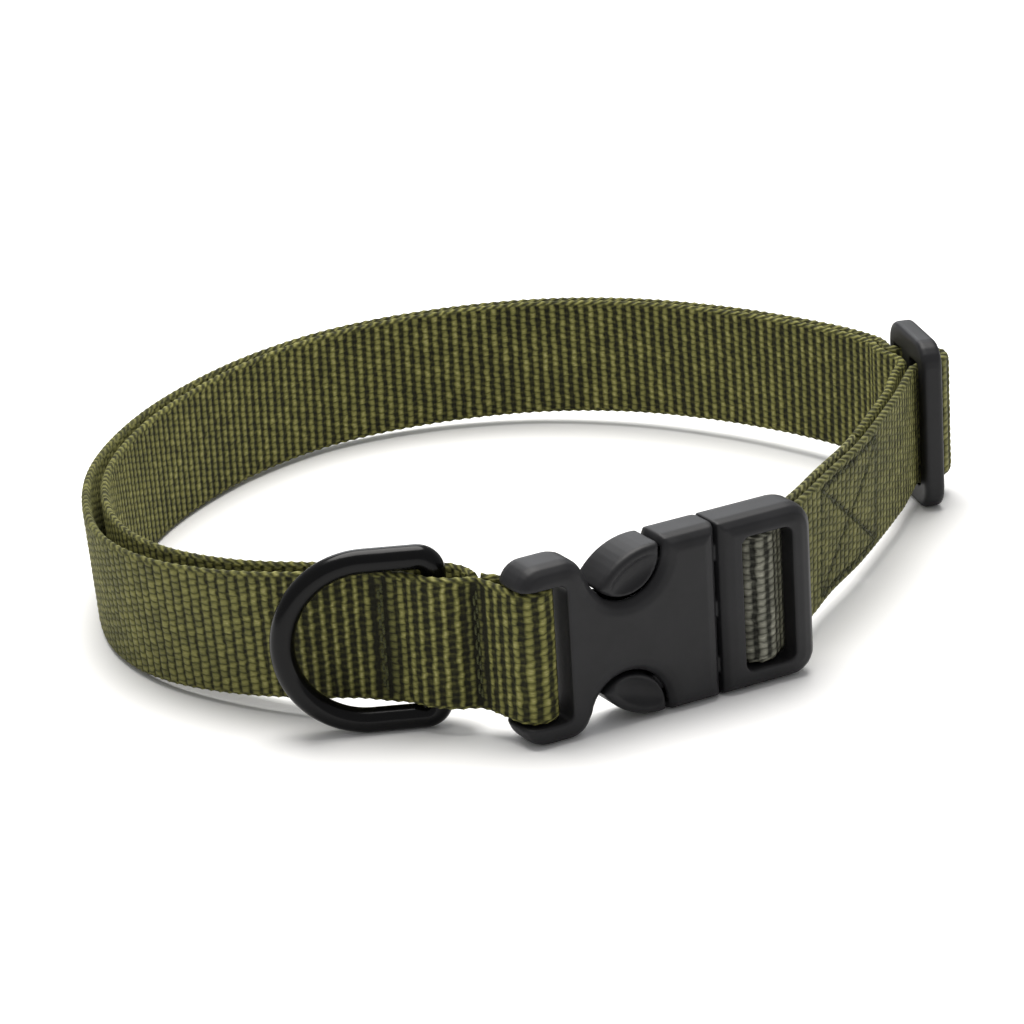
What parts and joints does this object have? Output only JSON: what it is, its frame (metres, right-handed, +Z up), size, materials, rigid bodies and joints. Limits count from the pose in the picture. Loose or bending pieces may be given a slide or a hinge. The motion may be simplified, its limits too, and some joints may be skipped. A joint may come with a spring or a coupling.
{
  "type": "dog collar",
  "caption": "Closed dog collar of doubled flat webbing with a side-release buckle, a swinging D-ring and a slider for its length.",
  "frame": {"origin": "on the surface the collar rests on, under the middle of its box", "axes": "+Z up, out of the loop; -Y towards the front, where the buckle and the D-ring are; +X towards the slider"},
  "size_m": [0.1705, 0.1772, 0.0347],
  "materials": {
    "webbing": "ribbed olive nylon webbing, matte with a slight sheen on the ribs",
    "plastic": "moulded charcoal acetal, satin matte",
    "coated_wire": "black coated steel wire, satin gloss"
  },
  "bodies": {
    "collar": {"webbing_outer": "webbing", "webbing_inner": "webbing", "slider": "plastic", "buckle_female": "plastic", "buckle_male": "plastic"},
    "ring": {"d_ring": "coated_wire"}
  },
  "joints": [
    {"name": "ring_swing", "type": "hinge", "parent": "collar", "child": "ring", "pos_m": [-0.0177, -0.07417, 0.01735], "axis": [0, 0, 1], "range_deg": [-4, 118]}
  ]
}
